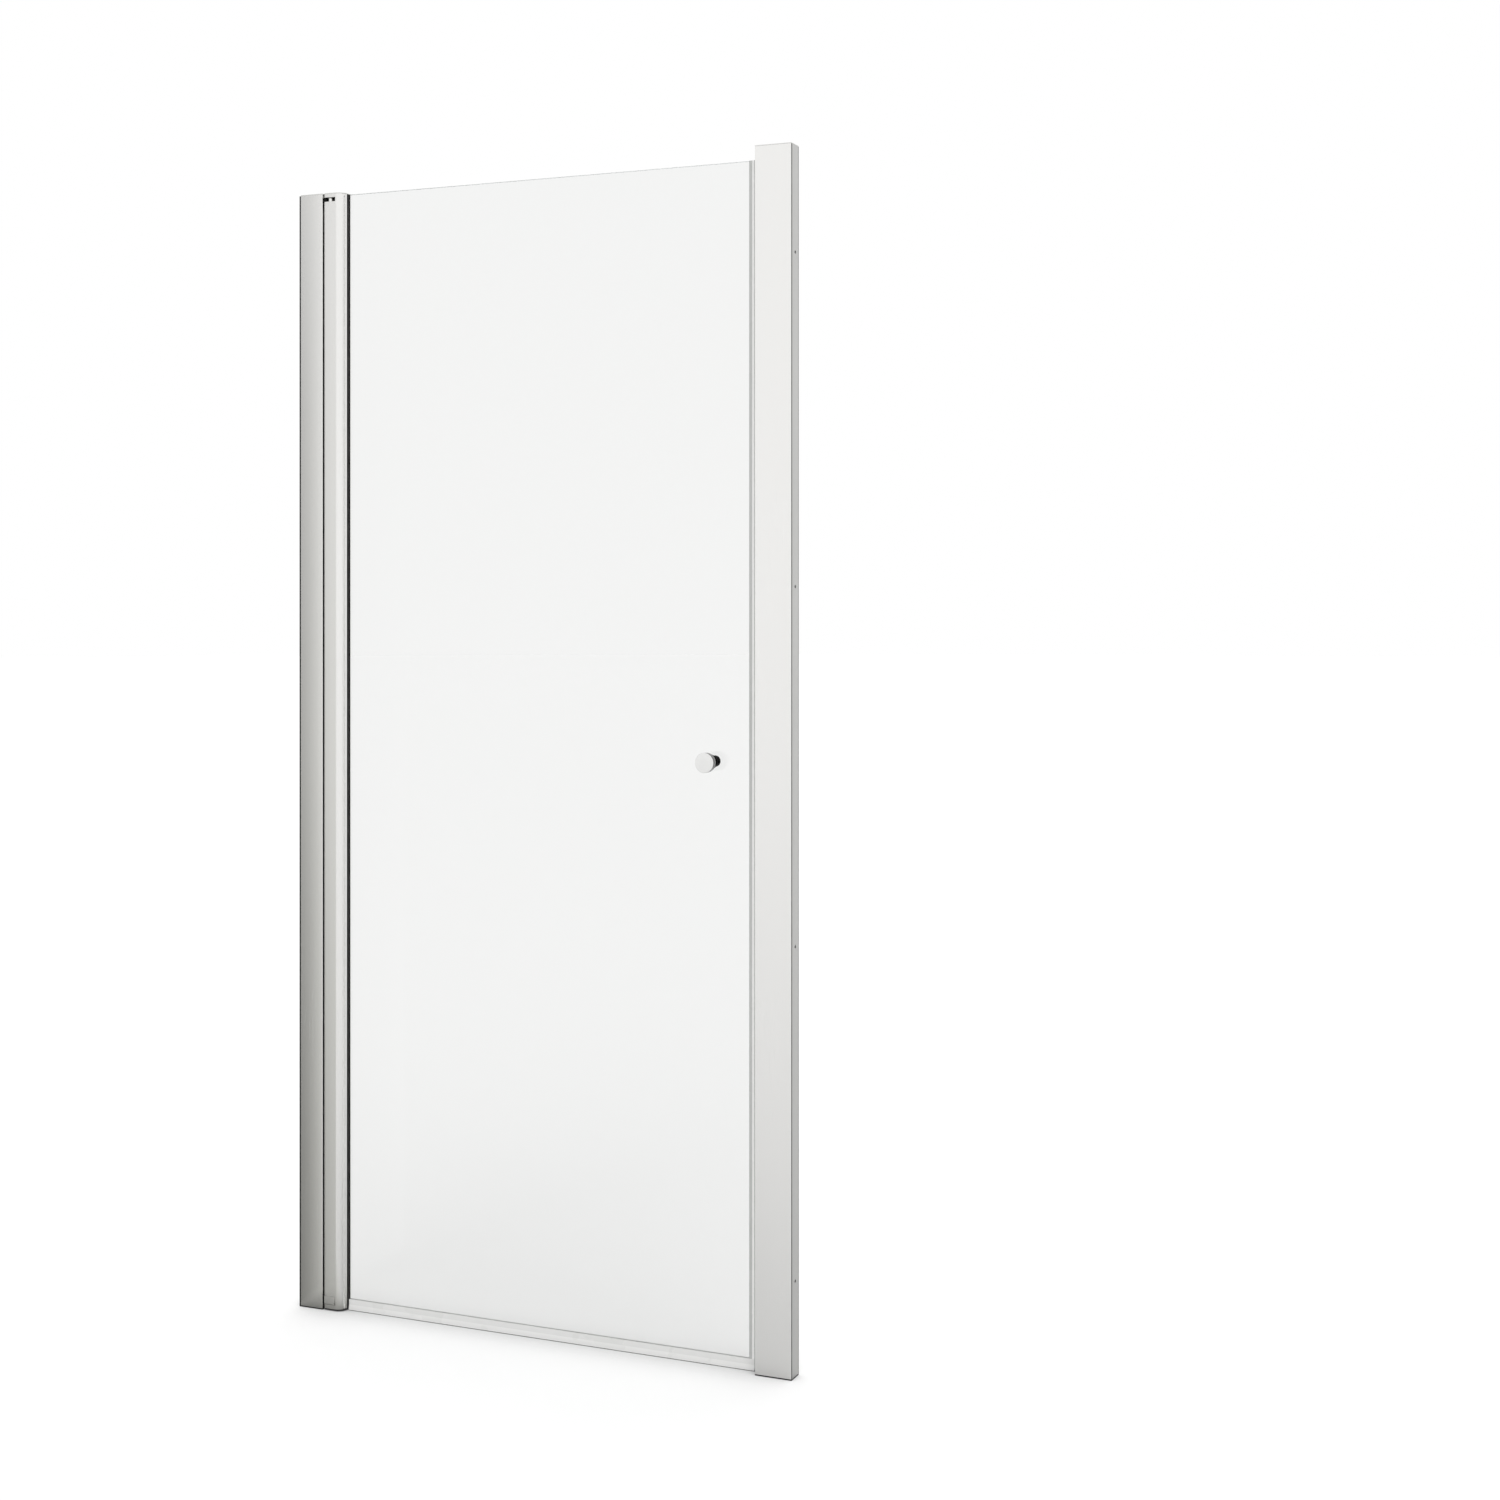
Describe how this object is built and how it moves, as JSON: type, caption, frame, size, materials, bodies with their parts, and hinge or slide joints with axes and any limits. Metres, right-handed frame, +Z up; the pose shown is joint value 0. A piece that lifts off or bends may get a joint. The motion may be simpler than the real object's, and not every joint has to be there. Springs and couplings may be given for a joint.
{
  "type": "shower door",
  "caption": "Pivoting niche shower door: clear glass leaf in a slim hinge profile, round knob, clip-on seals and a magnetic strike profile between two wall channels.",
  "frame": {"origin": "on the floor, in the middle of the door's overall width and depth", "axes": "+Z up, +X from the hinge side to the strike side, +Y into the shower"},
  "size_m": [0.907, 0.047, 1.918],
  "materials": {
    "satin_aluminium": "satin anodised extrusion, fine vertical grain",
    "cap_plastic": "moulded end caps in the colour of the aluminium",
    "black_casting": "black coated casting",
    "bright_casting": "plain machined casting",
    "steel": "stainless steel, turned",
    "block_plastic": "moulded nylon",
    "bearing_plastic": "white bearing plastic",
    "glass": "clear safety glass with ground edges",
    "black_rubber": "matt black gasket",
    "clear_seal": "clear to milky flexible extrusion",
    "magnet_strip": "flexible magnet strip",
    "chrome": "bright chrome"
  },
  "bodies": {
    "frame": {"wall_channel_left": "satin_aluminium", "wall_profile_left": "satin_aluminium", "adjust_screws_left": "steel", "top_cap_left": "cap_plastic", "hinge_arm_top": "black_casting", "hinge_arm_bottom": "bright_casting", "hinge_pin_top": "steel", "hinge_pin_bottom": "steel", "arm_screws": "steel", "hinge_gap_seal": "black_rubber", "wall_seal_left": "black_rubber", "foot_pad_left": "black_rubber", "wall_channel_right": "satin_aluminium", "strike_profile": "satin_aluminium", "adjust_screws_right": "steel", "top_cap_right": "cap_plastic", "strike_seal": "clear_seal", "strike_magnet": "magnet_strip", "wall_seal_right": "black_rubber", "foot_pad_right": "black_rubber"},
    "door": {"hinge_profile": "satin_aluminium", "hinge_block_top": "block_plastic", "hinge_block_bottom": "block_plastic", "bush_top": "bearing_plastic", "bush_bottom": "bearing_plastic", "thrust_washer": "bearing_plastic", "block_screws": "steel", "hinge_cap_top": "cap_plastic", "hinge_cap_bottom": "block_plastic", "glass_panel": "glass", "glass_gasket_front": "black_rubber", "glass_gasket_rear": "black_rubber", "setting_blocks": "block_plastic", "bottom_seal": "clear_seal", "door_seal": "clear_seal", "door_magnet": "magnet_strip", "knob_front": "chrome", "knob_rear": "chrome", "knob_stud": "steel", "knob_sleeve": "bearing_plastic", "knob_washers": "bearing_plastic"}
  },
  "joints": [
    {"name": "door_swing", "type": "hinge", "parent": "frame", "child": "door", "pos_m": [-0.3952, -0.0055, 0], "axis": [0, 0, -1], "range_deg": [0, 90]}
  ]
}
